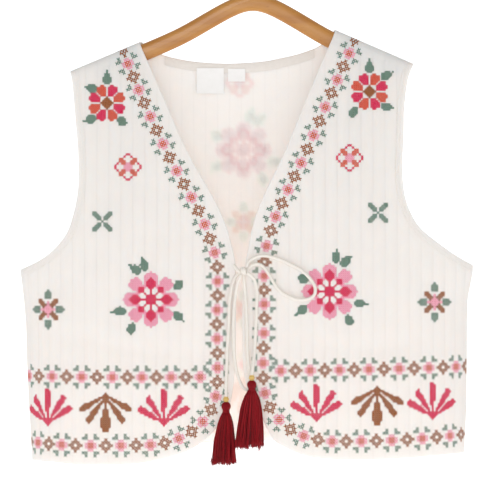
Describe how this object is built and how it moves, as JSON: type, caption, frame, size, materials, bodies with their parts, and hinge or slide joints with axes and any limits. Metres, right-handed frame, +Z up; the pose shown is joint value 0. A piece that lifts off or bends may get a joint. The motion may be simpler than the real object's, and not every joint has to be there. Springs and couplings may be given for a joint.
{
  "type": "quilted vest on a wooden hanger",
  "caption": "Sleeveless quilted cotton vest with cross-stitched borders and flowers, a V neck and a cord tie with beads and tassels, hanging on a slim wooden hanger.",
  "frame": {"origin": "inside of the top of the hanger's hook, where a rail holds it", "axes": "+Z up along the hook's stem, +X to the right of someone who looks at the open front, +Y towards the back; the front faces -Y"},
  "size_m": [0.5274, 0.0998, 0.6274],
  "materials": {
    "cloth": "matt off-white quilted cotton",
    "lining": "matt cotton tape",
    "label": "satin-woven label, bare",
    "cord": "twisted cotton cord",
    "tassel": "wine-red silky thread",
    "gold": "polished",
    "wood": "satin varnish",
    "steel": "plain bright wire"
  },
  "bodies": {
    "root": {"back": "cloth", "front_left": "cloth", "front_right": "cloth", "neck_facing": "lining", "label_large": "label", "label_small": "label", "bow_knot": "cord", "loop_right": "cord", "loop_hanging": "cord", "tail_left": "cord", "tail_right": "cord", "bead_left": "gold", "bead_right": "gold", "tassel_left": "tassel", "tassel_right": "tassel", "hanger_wood": "wood", "hanger_hook": "steel"}
  },
  "joints": []
}
